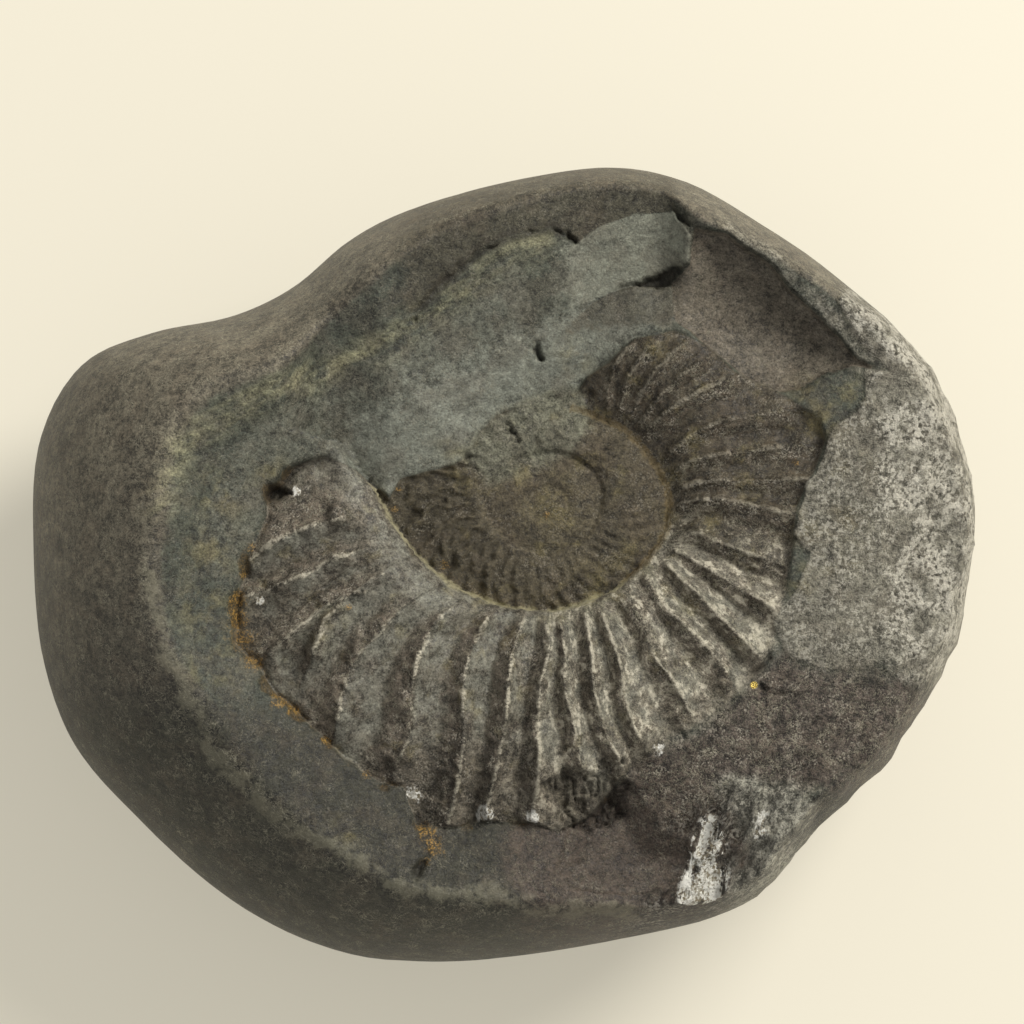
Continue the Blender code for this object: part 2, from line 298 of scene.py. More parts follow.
# Tables of a direction in degrees and a radius in mm
INNER_SEAM = (
    (180, 5.9), (140, 5.2), (100, 4.6), (20, 5.0), (-60, 4.3), (-140, 5.0), (-180, 5.9), (-195, 5.4),
)
OUTER_SEAM = (
    (80, 8.9), (60, 9.1), (28, 10), (5, 10.9), (-13, 10.9), (-39, 10), (-70, 9.6), (-103, 10),
    (-125, 10.8), (-147, 12.1), (-168, 13.8), (-184, 15.9), (-195, 19.5),
)
WHORL_EDGE = (
    (80, 21), (60, 23), (45, 26), (30, 30), (10, 28), (-10, 26), (-30, 27), (-50, 28), (-70, 31),
    (-90, 33), (-125, 34), (-152, 34), (-165, 32.5), (-180, 30), (-195, 27),
)
LAST_WHORL_RISE = 1.3
RISE_PER_WIDTH = 0.11
WINDOW = (
    (-16, 9.9), (-19, 9), (-21.3, 7), (-21.7, 4.5), (-23.2, 0.5), (-24.3, -3.5), (-24.7, -7.2),
    (-22.5, -9), (-20.8, -11.8), (-17.5, -14.5), (-14.5, -17.5), (-11.5, -19.6), (-9, -20.4),
    (-7.8, -23.6), (-5, -23.9), (-1, -23.2), (2.5, -23.4), (5, -24.1), (7.5, -23), (11, -19),
    (12, -17), (17, -14.5), (20.5, -12), (23.5, -9), (25, -4.5), (26, 0), (26.4, 3), (27, 6),
    (28.5, 9), (29.2, 11.5), (29, 13.6), (27, 14.8), (24.5, 16.5), (21, 18), (18.5, 20.3),
    (15.5, 21.8), (12, 20.8), (9.5, 18.8), (7.6, 17.6), (6.6, 16.2), (4.5, 15.8), (1.5, 15),
    (-0.5, 14.2), (-2.2, 12.6), (-3, 10.7), (-4.5, 9.4), (-7, 8.9), (-9.5, 8), (-10.5, 6.4),
    (-11.5, 7.3), (-13.3, 8.8),
)


def coil(across, skew, roundness):
    """Cross-section of a whorl: 0 at its seams and 1 on its crown."""
    return np.sin(math.pi * np.clip(across, 0, 1) ** skew) ** roundness


# %% [markdown]
# The ribs of the last whorl are thin, sharp ridges with wide smooth flutes between them. They bend
# and crowd as they cross the flank, so each one is a short line of chosen points, and the flute's
# depth follows from the distance to the nearest line. The inner whorls' ribs are fine and regular,
# so a formula in the direction makes them.

# %% Ribs
RIBS = (
    ((-10.3, 4), (-14, 4.2), (-17.5, 3.4), (-21, 1.9), (-23, 0.5)),
    ((-9.4, 1.6), (-13, 1.2), (-16.1, 0), (-19, -1.4), (-23.5, -3)),
    ((-7.6, 0), (-9.5, -0.3), (-11.2, -1.1), (-14, -3), (-16.1, -5.3), (-17.2, -8)),
    ((-12.6, -2.6), (-15.4, -3.4), (-18.2, -5.5), (-21, -8)),
    ((-5, -1.5), (-8.4, -3.4), (-10.5, -5.5), (-12.6, -7.8), (-14, -10), (-15, -14)),
    ((-3, -2.8), (-5.6, -4.8), (-7.4, -7.6), (-8.1, -10.4), (-8.4, -15), (-10, -19)),
    ((-0.4, -3.6), (-2.1, -6.2), (-3.2, -9), (-3.7, -12.1), (-3.6, -16), (-4.2, -20), (-5, -23.5)),
    ((2.1, -4.3), (1, -7.6), (0.5, -10.7), (0.1, -14.6), (-0.4, -17.7), (-1.2, -21), (-1.6, -23.5)),
    ((3.7, -4.2), (4.0, -7.6), (3.5, -10.4), (3.1, -14.2), (3.2, -19.5), (2.4, -23.5)),
    ((5, -3.7), (5.5, -7.6), (5.6, -11.8), (6.4, -14.8), (7, -18)),
    ((7.2, -4), (7.9, -7.6), (8.1, -11), (9, -14.5), (10.5, -17.5)),
    ((8.8, -4), (10.5, -9), (11.2, -13), (12.5, -16)),
    ((10.8, -2.3), (12.5, -5), (13.5, -8), (15.3, -10.5), (17, -13.5)),
    ((13, -1), (14.5, -3.5), (16.5, -5.5), (19, -8), (21, -11)),
    ((15, 0), (18, -3), (21, -6), (23.5, -8.5)),
    ((15.6, 1.6), (18.5, -0.2), (22, -2.3), (25, -4)),
    ((15.5, 2.8), (18, 3), (20, 2), (25.5, 0)),
    ((15.3, 5), (17, 6.1), (20, 6.1), (24, 5.3), (27, 4.6)),
    ((16, 7.3), (19, 7.9), (25, 7.9), (28, 8)),
    ((15.5, 8.8), (17, 9.7), (21, 10.5), (27, 11)),
    ((15, 10.5), (18, 12.5), (21, 13.6), (25, 14.2)),
    ((13, 12.5), (16, 15), (20, 17)),
    ((12.4, 13.2), (14.8, 16.2), (17.8, 18.6)),
    ((11.5, 14), (13.4, 17.3), (15.8, 20)),
    ((10.3, 13.8), (11.2, 17), (13.2, 20)),
    ((9.3, 14.2), (9.6, 17), (11.2, 20)),
)
RIB_DEPTH = 1.6
RIB_STRENGTH = (
    (-195, 1), (-150, 1.05), (-110, 1.1), (-70, 1), (-30, 0.85), (0, 0.6), (30, 0.45), (55, 0.55), (80, 0.8),
)
FULL_SPACING = 2.6  # mm between crests at which the flutes are at their full depth
# The pale width of the crests stands for wear and for painted highlight.
CREST_WIDTH = 0.28  # mm of each crest that is worn pale
LONG_SIDE = 0.55  # share of the way to the next crest at which the flute is deepest
FLOW_RANGE, REACH_RANGE = 30.0, 40.0  # ribs and mm: they bring two measures between 0 and 1
INNER_RIBS = 40
INNER_RIB_DEPTH = 0.6
INNER_RIB_STRENGTH = (
    (-180, 1), (-90, 1), (-60, 0.7), (-20, 0.4), (60, 0.25), (120, 0.3), (145, 0.9), (180, 1),
)


def rib_crossing(x, y):
    """How many crests have been passed anticlockwise, with the part of the flute crossed, and its width."""
    behind, ahead = np.full(x.shape, 6.0), np.full(x.shape, 6.0)
    passed = np.zeros(x.shape)
    for number, rib in enumerate(RIBS):
        line = smooth_curve(rib, 4, closed=False)
        nearest, turned = np.full(x.shape, 1e9), np.zeros(x.shape)
        for index, (distance, _) in enumerate(edge_distances(x, y, line[:-1], line[1:])):
            run, rise = line[index + 1] - line[index]
            cross = run * (y - line[index, 1]) - rise * (x - line[index, 0])
            turned = np.where(distance < nearest, cross, turned)
            nearest = np.minimum(nearest, distance)
        closest = (turned >= 0) & (nearest < behind)
        passed = np.where(closest, number + 1, passed)
        behind = np.where(closest, nearest, behind)
        ahead = np.where(turned < 0, np.minimum(ahead, nearest), ahead)
    return passed + behind / (behind + ahead + 1e-9), behind + ahead


def rib_profile(across_flute):
    """1 on the crests, with a long side that faces anticlockwise and a short one."""
    long_side = np.clip(1 - across_flute / LONG_SIDE, 0, 1) ** 1.15
    short_side = np.clip((across_flute - LONG_SIDE) / (1 - LONG_SIDE), 0, 1) ** 1.15
    return np.maximum(long_side, short_side)


def fine_ribs(turn, across, count, sweep):
    """The flutes of an inner whorl: 0 on the crests and 1 between them."""
    place = (turn - sweep * np.clip(across, 0, 1) ** 2) * count / 360
    return 1 - np.abs(2 * (place - np.floor(place)) - 1) ** 1.5


def ammonite(x, y):
    """The fossil's height, and masks of its parts."""
    flat = np.c_[x, y, np.zeros(len(x))]
    wear = ramp(-0.45, 0.25, grain(flat, 2.4, 51, 3))
    fret = grain(flat, 0.7, 52, 3)
    radius = np.hypot(x - MIDDLE[0], y - MIDDLE[1])
    raw_turn = np.degrees(np.arctan2(y - MIDDLE[1], x - MIDDLE[0]))
    turn = np.where(raw_turn > 100, raw_turn - 360, raw_turn)
    inner = along(INNER_SEAM, raw_turn)
    seam, edge = along(OUTER_SEAM, turn), along(WHORL_EDGE, turn)
    seam = np.where(turn < -195, 19.5, np.where(turn > 80, 8.9 + (turn - 80) * 0.05, seam))
    bed = BED_HEIGHT + BED_SLOPE * x

    across = (radius - seam) / (edge - seam)
    on_last = (radius > seam) & (turn < 80) & (turn > -195)
    flow, flute_width = rib_crossing(x + 0.12 * fret, y - 0.12 * fret)
    across_flute = flow - np.floor(flow)
    crest = rib_profile(across_flute)
    frayed = ramp(-108, -80, turn) * ramp(5, -25, turn)
    along_ribs = np.c_[2.5 * flow, radius * 0.3, np.zeros(len(x))]
    striae = grain(along_ribs, 0.9, 53, 3, sharp=True)
    depth = RIB_DEPTH * np.clip(flute_width / FULL_SPACING, 0.3, 1) * along(RIB_STRENGTH, turn)
    short_side = ramp(0.4, 0.8, across_flute + 0.12 * fret)
    low_wall = ramp(-50, -10, turn)
    arch = coil(across, mix(0.6, 1.0, low_wall), mix(0.75, 1.1, low_wall))
    last = bed - mix(0.2, 0.8, low_wall) + (LAST_WHORL_RISE + RISE_PER_WIDTH * (edge - seam)) * arch
    level = face_height(x, y) - 0.1 - 0.6 * ramp(-6, 0, y) * ramp(15, 11, y)
    last = mix(last, level, ramp(13, 25, x))
    smooth_last = last - 0.2
    smooth_wall = ramp(-115, -150, turn)
    rib_strength = ramp(0, mix(0.1, 0.32, smooth_wall), across - 0.06 * smooth_wall)
    rib_strength *= 1 - 0.3 * ramp(0.75, 1, across)
    crest = crest * mix(0.5, 1, wear)
    last = last - depth * (1 - crest) * rib_strength + 0.45 * rib_strength
    last += fret * (0.04 + 0.14 * short_side + 0.12 * crest ** 3) * rib_strength
    last += striae * (0.03 + 0.06 * short_side + 0.25 * frayed) * rib_strength

    second_across = (radius - inner) / (seam - inner)
    second = bed - 0.95 + 0.75 * coil(second_across, 0.7, 0.8)
    flutes = fine_ribs(raw_turn + 4.5 * fret, second_across, INNER_RIBS, 14)
    flute_strength = ramp(0, 0.25, second_across) * (1 - 0.5 * ramp(0.8, 1, second_across))
    flute_strength *= along(INNER_RIB_STRENGTH, raw_turn) * mix(0.5, 1, wear)
    smooth_inside = np.where(radius < inner, bed - 0.9, second)
    second -= INNER_RIB_DEPTH * flutes * flute_strength - 0.24 * fret
    first_across = (radius - EYE_RADIUS) / (inner - EYE_RADIUS)
    first = bed - 1 + 0.4 * coil(first_across, 0.7, 0.8) + 0.06 * fret
    first -= 0.1 * fine_ribs(raw_turn + 4 * fret, first_across, 34, 8) * ramp(0, 0.3, first_across) * wear
    eye = bed - 0.95 + 0.25 * (1 - (radius / EYE_RADIUS) ** 2) + 0.05 * fret
    inside = np.where(radius < EYE_RADIUS, eye, np.where(radius < inner, first, second))
    edge_of_rib = np.exp(-(np.minimum(across_flute, 1 - across_flute) * flute_width / CREST_WIDTH) ** 2)
    inner_valley = flutes * flute_strength * (radius > inner)
    masks = {
        "smooth": np.where(on_last, mix(smooth_last, smooth_inside, ramp(56, 80, turn)), smooth_inside),
        "flow": flow / FLOW_RANGE,
        "reach": radius / REACH_RANGE,
        "frayed": frayed * on_last,
        "dusky": ramp(-32, -4, turn) * on_last,
        "crest": np.where(on_last, edge_of_rib * rib_strength * mix(0.6, 1, wear), 0),
        "flank": np.where(on_last, short_side * rib_strength, 0.3 * flutes * flute_strength),
        "valley": np.where(on_last, (1 - crest) ** 3 * rib_strength, inner_valley),
        "disc": (~on_last).astype(float),
        "seam": np.exp(-((radius - seam) / 0.45) ** 2) * ramp(-30, -50, turn),
        "tan_seam": np.exp(-((radius - seam) / 0.5) ** 2) * ramp(-60, -40, turn) * (turn < 78),
    }
    return np.where(on_last, last, inside), masks

# %% [markdown]
# ## Chips, cracks and ledges
#
# The break has character. A smooth scoop is gone at the upper right and another at the lower edge.
# A thin slab still stands proud at the top, split by a crack, and rust has eaten a gap round the
# left of the fossil. Each is an outline or a line of chosen points with a depth.

# %% Outlines and lines of the break
HOLLOW = (
    (17.1, 30.8), (20.4, 30), (23.9, 27.8), (27, 24.5), (28.8, 23), (30.3, 21.3), (32.3, 19.2),
    (35.1, 17.8), (32.3, 18.2), (29.5, 17.5), (27, 16.1), (25.3, 15.9), (22.5, 17.1), (19, 19.6),
    (17, 21.5), (15.5, 22.5), (15.2, 25.8), (16.9, 27.6),
)
HOLLOW_RIM = HOLLOW[:8]
SLAB = (
    (0.6, 28.5), (4.3, 30.2), (6.4, 29.4), (9, 31), (12, 32.2), (15.5, 32.2), (17.1, 29.7),
    (16.9, 27.6), (14.8, 27.1), (13, 26.2), (10.6, 25.3), (6.7, 23.8), (3.6, 22.4), (2.5, 24.5), (1.5, 26.9),
)
SCOOP = (
    (9.5, -18), (12, -20), (13.5, -22), (14.3, -23.8), (16.5, -24.5), (17.2, -26), (16.8, -27.5),
    (15, -29), (11, -30), (6.5, -29.3), (4.5, -27.5), (5.5, -25), (6, -22),
)
ROUGH_GROUND = (
    (35.3, 17.6), (33, 18.1), (32.8, 15.3), (32, 14), (30.5, 13.3), (29.5, 12), (29, 10), (28.5, 8.5),
    (27.5, 7.5), (27.2, 5.5), (26.7, 4), (26.3, 2.7), (27, 1.8), (28, 1), (27, -1), (26.5, -2.5),
    (25.5, -3.5), (24.5, -5), (25.5, -8), (29, -9.5), (34, -9), (39, -12), (48, -10), (50, 12),
    (46, 30), (33, 30), (30.5, 24), (32, 21),
)
BROWN_GROUND = (
    (10, -17), (17, -14.5), (20.5, -12), (23.5, -9), (25.5, -8), (29, -9.5), (34, -9), (39, -12),
    (40, -18), (34, -19), (29, -20), (21, -19.5), (15, -23), (12.5, -20.5),
)
LOWER_GROUND = (
    (15, -23), (21, -19.5), (29, -20), (34, -19), (38, -22), (28, -33), (18, -36), (11, -33),
    (15, -29.5), (17, -27.5), (17.3, -26), (16.5, -24.3),
)
PALE_GROUND = (
    (-15, 10), (-12, 7.5), (-10, 6), (-7, 9), (-4.5, 10), (-2, 13), (1.5, 15.3), (6.6, 16.6),
    (9, 19), (12, 21), (13.6, 22.4), (15.2, 24.4), (15.2, 25.8), (12, 25.8), (8, 24), (3, 21.5), (-3, 18.5),
    (-8, 16), (-13, 13),
)
# Where the inner whorls still have a thin skin of grey rock over them
VEIL = ((-5, 10.5), (-1, 14), (1.5, 15.6), (6.8, 17), (8.2, 13.5), (6.5, 10.5), (2, 8.2), (-1.5, 7.5))
RIM = (
    (-31, 5), (-29, 10), (-25, 13), (-20, 15.7), (-15, 18.2), (-12, 19.3), (-8, 21.6), (-5, 24),
    (-1, 27.2), (3.5, 29.6),
)
LOWER_RIM = (
    (-32, -1), (-31, -5), (-30, -9), (-28.5, -12), (-26.5, -15.5), (-25, -18.5), (-22.5, -20.8),
    (-20, -23), (-18, -24.3), (-15, -25.7), (-12, -27.5), (-9, -29.3), (-6.5, -29.8), (-3, -29.7),
    (0, -30), (4, -31), (8, -31), (12, -31.3),
)
# The skin of the stone ends in a step above the grey band
STEP = (
    (-9, 21.5), (-8.2, 22.5), (-6, 25), (-4, 27), (-2, 28.6), (0, 29.5), (1.5, 30), (4.4, 30.7), (6.4, 29.6),
)
STEP_FOOT = STEP + ((10, 26), (0, 17), (-8, 17))
# Cracks: a line, its half width and its depth
CRACKS = (
    (((0.6, 28.5), (1.5, 26.9), (2.5, 24.5), (3.2, 22), (3.2, 20.3)), 0.08, 0.2),
    (((2.9, 20.4), (3.2, 19.6), (3.6, 18.9)), 0.22, 1.2),
    (((3.6, 18.9), (5, 19.4), (7.8, 19.2)), 0.08, 0.2),
    (((-10, 21.2), (-8.2, 22.6), (-6, 25), (-4, 26.9), (-1, 28.8)), 0.4, 0.4),
    (((-2.5, 28), (0, 29.3), (1.5, 29.8), (4.4, 30.5), (6.4, 29.4)), 0.14, 0.6),
    (((5.6, 30.3), (6.4, 29.6), (6.8, 29)), 0.22, 0.9),
    (((15.6, 32.4), (16.3, 31.4), (17.1, 30.8)), 0.22, 0.9),
    (((10.2, 25.2), (11.5, 25.8), (13, 26.2)), 0.2, 0.6),
    (((0, 13.6), (1, 12.4), (1.7, 11.3)), 0.2, 0.7),
    (((-4.5, 10.5), (-3.6, 10.3), (-2.9, 10)), 0.25, 0.7),
    (((-7, -23.5), (-6.2, -24.8), (-7, -26.2), (-8, -28.5)), 0.35, 0.9),
    (((8.2, 13.6), (7.6, 15), (8.4, 17.4)), 0.4, 0.9),
    (((31, -19), (32, -19.5), (33.5, -20.5)), 0.4, 0.9),
    (((17.5, -14), (20, -12.2), (22, -10.4)), 0.35, 0.9),
    (((22.2, -10.2), (24.5, -11.4), (27, -11.9)), 0.3, 0.9),
    (((22, -10.4), (24, -8.4), (26, -5.4)), 0.3, 0.7),
)
# Small holes: an outline and its depth
HOLES = (
    (((11.8, 25.8), (13.6, 26.9), (15.6, 27.5), (16.6, 27.2), (15.9, 26.5), (15.2, 25.6), (13.6, 25.5)), 1.3),
    (((-21.7, 6), (-21.2, 7.4), (-19.8, 7.3), (-18.9, 6.5), (-19.9, 6.3), (-20.7, 5.8)), 1.0),
    (((24.8, 10.2), (28.6, 9.6), (29.3, 12), (28.9, 14), (26.5, 14.6), (24.9, 13)), 0.25),
    (((-8.6, 22), (-7.9, 22.7), (-7.6, 22.3), (-8.1, 21.8)), 0.5),
    (((-37.9, -0.5), (-37.4, -0.2), (-37, -0.5), (-37.5, -0.8)), 0.2),
)
# Where the ends of the ribs are broken off, deep and ragged
TORN = (
    (3.5, -20), (6, -18.4), (8, -18.6), (9, -17.3), (10.8, -17.8), (11.2, -20), (10.3, -22.5),
    (8.3, -23.9), (5.5, -23.7), (4.2, -22.5),
)
BAND = (
    (-25, 9), (-20, 14), (-14, 17.5), (-8, 20.5), (-4, 23), (0, 28), (1.5, 27), (2.5, 23), (3, 21.5),
    (-3, 18.5), (-8, 16), (-13, 13), (-15.5, 10.5), (-20, 8.5), (-23, 2), (-26, -2), (-27.5, 3),
)
# Places on the break are drawn on a plan that is a little larger than the outline's and moved a little
DRAWING_SCALE = 0.979
DRAWING_SHIFT = (0.02, -1.44)
SWAY = 0.32  # mm by which the clouds bend every drawn edge


def holes(x, y):
    depth = np.zeros(x.shape)
    for corners, deep in HOLES:
        depth = np.maximum(depth, deep * ramp(-0.08, 0.3, depth_inside(x, y, corners)))
    return depth


def cracks(x, y):
    depth = np.zeros(x.shape)
    for points, half_width, deep in CRACKS:
        distance, share = line_distance(x, y, smooth_curve(points, 4, closed=False))
        fade = 0.25 + 0.75 * ramp(0, 0.2, share) * ramp(1, 0.8, share)
        depth = np.maximum(depth, deep * fade * np.exp(-(distance / half_width) ** 2))
    return depth * ramp(-0.35, 0.3, grain(np.c_[x, y, np.zeros(len(x))], 1.3, 26, 3))


def broken_top(points):
    """The height of the break at each point, and the masks that colour it."""
    x = (points[:, 0] - DRAWING_SHIFT[0]) / DRAWING_SCALE
    y = (points[:, 1] - DRAWING_SHIFT[1]) / DRAWING_SCALE
    flat = np.c_[x, y, np.zeros(len(x))]
    sway_x = SWAY * grain(flat, 2.2, 3, 3)
    sway_y = SWAY * grain(flat, 2.2, 4, 3)
    wx, wy = x + sway_x, y + sway_y

    face = face_height(x, y)
    slab = ramp(-0.1, 0.25, depth_inside(wx, wy, SLAB)) * ramp(2, 9, x)
    face += 0.55 * slab
    step_depth = depth_inside(wx, wy, STEP_FOOT)
    step_distance, step_share = line_distance(x, y, STEP)
    step_ends = ramp(0, 0.2, step_share) * ramp(1, 0.9, step_share)
    face -= 0.8 * ramp(-0.05, 0.2, step_depth) * ramp(4, 0.5, step_distance) * step_ends
    hollow_depth = depth_inside(wx, wy, HOLLOW)
    rim_distance, _ = line_distance(wx, wy, HOLLOW_RIM)
    hollow = ramp(-0.1, 0.3, hollow_depth)
    near_rim = ramp(6, 2, rim_distance)
    face -= hollow * (0.8 * ramp(34, 28, x) + 0.5 * near_rim + 1.1 * ramp(0, 3.5, hollow_depth))
    scoop_depth = depth_inside(wx, wy, SCOOP)
    scoop = ramp(-0.15, 0.3, scoop_depth)
    face -= scoop * (0.3 * ramp(0, 0.4, scoop_depth) + 1.1 * ramp(0, 3, scoop_depth))

    rough = ramp(-0.2, 0.3, depth_inside(wx, wy, ROUGH_GROUND))
    rough = np.maximum(rough, 0.45 * ramp(2.2, 0.9, rim_distance) * (1 - hollow) * ramp(18, 22, x))
    brown = ramp(-0.4, 0.4, depth_inside(wx, wy, BROWN_GROUND))
    lower = ramp(-0.4, 0.4, depth_inside(wx, wy, LOWER_GROUND))
    face += rough * (0.35 * grain(flat, 4, 11, 3, sharp=True) + 0.24 * grain(flat, 1.3, 12, 3))
    face += brown * (0.5 * grain(flat, 3, 13, 5, sharp=True) + 0.2 * grain(flat, 0.9, 14, 3))
    leaning = np.c_[x / 0.9 - y / 3, y / 2.2, np.zeros(len(x))]
    face += lower * (1.5 * grain(leaning, 2.6, 15, 5, sharp=True) + 0.4 * grain(flat, 1.0, 16, 3))

    inside = depth_inside(wx, wy, WINDOW)
    soft_side = ramp(8, 14, x) * ramp(1, -5, y)
    shown = ramp(-0.15 - 1.5 * soft_side, 0.3 + 1.2 * soft_side, inside)
    fossil, masks = ammonite(x + 0.25 * sway_x, y + 0.25 * sway_y)
    fossil += 0.2 * grain(flat, 1.2, 21, 4) * ramp(3, 10, x) * ramp(1, -4, y) * (1 - masks["disc"])
    feathered = ramp(5, 8, y) * ramp(20, 14, x) * ramp(-21, -15, x)
    thin_level = masks["smooth"] + 0.15 + 0.38 * np.maximum(-inside, 0)
    thin_edge = soft_lower(face, thin_level, 0.8)
    face = mix(face, thin_edge, feathered)
    rusty_side = ramp(14, 10, x) * ramp(9.5, 7.5, y + 0.12 * (x + 16)) * ramp(3, -2, x + y - 8)
    rusty_side *= (1 - ramp(1, 4, y) * ramp(-17, -14, x)) * mix(1, 0.45, ramp(-11, -6, x))
    gap_grain = grain(flat, 1.6, 22, 4)
    gap = np.exp(-((inside - 0.1 + 0.6 * gap_grain) / 0.5) ** 2) * rusty_side * ramp(-0.4, 0.35, gap_grain)
    height = mix(face, fossil, shown) - 0.55 * gap

    rim_line, _ = line_distance(wx, wy, smooth_curve(RIM, 4, closed=False))
    lower_rim, _ = line_distance(wx, wy, smooth_curve(LOWER_RIM, 4, closed=False))
    height += 0.2 * np.exp(-(lower_rim / 0.9) ** 2) * ramp(-0.5, 0.3, grain(flat, 2.5, 30, 3))
    cx = x + 0.5 * sway_x + 0.22 * grain(flat, 0.5, 27, 2)
    cy = y + 0.5 * sway_y + 0.22 * grain(flat, 0.5, 28, 2)
    dents = cracks(cx, cy) + holes(cx, cy)
    height -= dents
    torn = ramp(-0.2, 0.35, depth_inside(wx, wy, TORN) + 0.9 * grain(flat, 1.1, 24, 3))
    upright = np.c_[x / 0.55, y / 1.8, np.zeros(len(x))]
    height -= torn * (0.75 + 0.95 * grain(upright, 1.0, 25, 3, sharp=True))
    ragged_ends = shown * ramp(-14.5, -18, y + 0.5 * x * (x > 0)) * ramp(-14, -9, x)
    height += ragged_ends * (0.35 * grain(flat, 1.2, 29, 4, sharp=True) - 0.25)
    smooth_ground = (1 - shown) * (1 - rough) * (1 - brown) * (1 - lower)
    height += smooth_ground * 0.05 * grain(flat, 1.4, 23, 4)

    patches = grain(flat, 2.2, 32, 3)
    near_lower = depth_inside(wx, wy, LOWER_GROUND) + 1.2 * patches
    above_step = ramp(0.3, -0.4, step_depth) * ramp(20, 24, y)
    for name in ("crest", "disc", "seam", "flank", "valley", "frayed", "dusky", "tan_seam"):
        masks[name] = masks[name] * shown
    masks.update(
        fossil=shown, rough=rough * ramp(-15, -5, y + 2 * patches), hollow=hollow, slab=slab,
        lower=ramp(-1.5, 1.2, near_lower) * ramp(32, 23, x + 3 * patches),
        scoop=ramp(-9, -0.5, scoop_depth + 1.5 * patches) * (1 - shown),
        brown=ramp(-2.5, 2.5, depth_inside(wx, wy, BROWN_GROUND) + 1.5 * patches) * (1 - shown),
        pale=ramp(-3.5, 2.5, depth_inside(wx, wy, PALE_GROUND)) * (1 - shown),
        veil=ramp(-1.2, 1.8, depth_inside(wx, wy, VEIL)),
        rim=np.exp(-(rim_line / 1.25) ** 2), lower_rim=np.exp(-(lower_rim / 1.1) ** 2),
        gap=np.clip(gap * 1.6, 0, 1), dents=ramp(0.1, 0.6, dents), torn=torn,
        band=ramp(-1.5, 1.5, depth_inside(wx, wy, BAND)), ragged_ends=ragged_ends,
        low_ledge=ramp(-8, -18, y) * ramp(15, 8, x) * (1 - shown),
        groove=np.exp(-((step_distance + 0.3 * sway_x) / 0.75) ** 2) * step_ends,
        stained_skin=above_step * ramp(-14, -5, x) * ramp(18, 14, x) * (1 - slab),
    )
    masks["drawing_x"], masks["drawing_y"] = x, y
    return height, masks


print("features:", len(RIBS), "ribs,", len(CRACKS), "cracks,", len(HOLES), "holes")

# %% [markdown]
# ## The mesh
#
# An icosphere has even triangles and no poles, so it suits a pebble. Its edges are divided again
# where the break and the fossil need detail, and each point is then moved to its place on the
# stone. The underside is pressed flat where the stone rests.

# %% From a sphere to the stone
SPHERE_SUBDIVISIONS = 6
TIMES_DIVIDED = 3
FINE_SHARE = 0.97  # of the way from the middle to the outline
FINEST_MARGIN = 0.8  # mm round the window
EDGE_CHIPS = 0.016  # share of the outline by which the broken edge is chipped
ROUNDED_EDGE = 1.4  # mm over which the break rounds into the worn outside
SWELL = 0.35  # mm by which the worn outside rises and falls


def plan_of(sphere):
    """Where the points of a unit sphere lie, seen from above."""
    direction = np.arctan2(sphere[:, 1], sphere[:, 0])
    polar = np.arccos(np.clip(np.abs(sphere[:, 2]), 0, 1)) / (math.pi / 2)
    share = np.sin(math.pi / 2 * polar ** 0.95) ** 0.9
    return direction, share


def stone_points(sphere):
    """The stone's points for the points of a unit sphere, and the masks."""
    direction, share = plan_of(sphere)
    jagged = ramp(-1.1, -0.8, direction) * ramp(0.65, 0.4, direction) * ramp(-0.35, 0.0, sphere[:, 2])
    edge_grain = grain(np.c_[40 * np.cos(direction), 40 * np.sin(direction), 9 * sphere[:, 2]], 1.8, 31, 4)
    reach = share * outline_radius(direction) * (1 + EDGE_CHIPS * jagged * edge_grain)
    points = np.c_[reach * np.cos(direction), reach * np.sin(direction), np.zeros(len(sphere))]
    low, high = points.min(0), points.max(0)
    points -= (low + high) / 2
    top = sphere[:, 2] >= 0
    dome = dome_height(share, direction)
    break_height, masks = broken_top(points)
    broken = ramp(-0.5, 0.6, dome - break_height) * top
    points[:, 2] = np.where(top, soft_lower(dome, break_height, ROUNDED_EDGE), underside_height(share))
    swell = SWELL * grain(points, 16, 41, 2) + 0.03 * grain(points, 1.5, 42, 3)
    outwards = sphere / np.linalg.norm(sphere, axis=1)[:, None]
    points += outwards * (swell * (1 - broken) * (points[:, 2] > 1.5))[:, None]
    points[:, 2] = np.maximum(points[:, 2], 0)
    masks["broken"] = broken
    masks["ledge"] = ramp(-0.3, 2.4, dome - break_height) * top
    masks["jagged"] = jagged
    return points, masks


def sphere_of(bm):
    sphere = np.array([v.co for v in bm.verts])
    return sphere / np.linalg.norm(sphere, axis=1)[:, None]


def divide(bm, chosen):
    """Halves the edges between chosen points."""
    bm.verts.ensure_lookup_table()
    edges = [edge for edge in bm.edges if chosen[edge.verts[0].index] and chosen[edge.verts[1].index]]
    bmesh.ops.subdivide_edges(bm, edges=edges, cuts=1, use_grid_fill=True)
    bmesh.ops.triangulate(bm, faces=bm.faces)
    bm.verts.index_update()


stone_bm = bmesh.new()
bmesh.ops.create_icosphere(stone_bm, subdivisions=SPHERE_SUBDIVISIONS, radius=1)
stone_bm.verts.index_update()
for level in range(TIMES_DIVIDED):
    sphere = sphere_of(stone_bm)
    _, share = plan_of(sphere)
    chosen = (share < FINE_SHARE) & (sphere[:, 2] > 0)
    if level > 0:
        masks = stone_points(sphere)[1]
        chosen &= (masks["broken"] > 0.02) | (masks["jagged"] > 0.5)
    if level > 1:
        near = depth_inside(masks["drawing_x"], masks["drawing_y"], WINDOW) > -FINEST_MARGIN
        for crack, _, _ in CRACKS:
            near |= line_distance(masks["drawing_x"], masks["drawing_y"], crack)[0] < FINEST_MARGIN
        chosen &= near
    divide(stone_bm, chosen)
points, masks = stone_points(sphere_of(stone_bm))
for vertex, place in zip(stone_bm.verts, points * MM):
    vertex.co = place
bmesh.ops.recalc_face_normals(stone_bm, faces=stone_bm.faces)
stone_mesh = bpy.data.meshes.new("worn_stone")
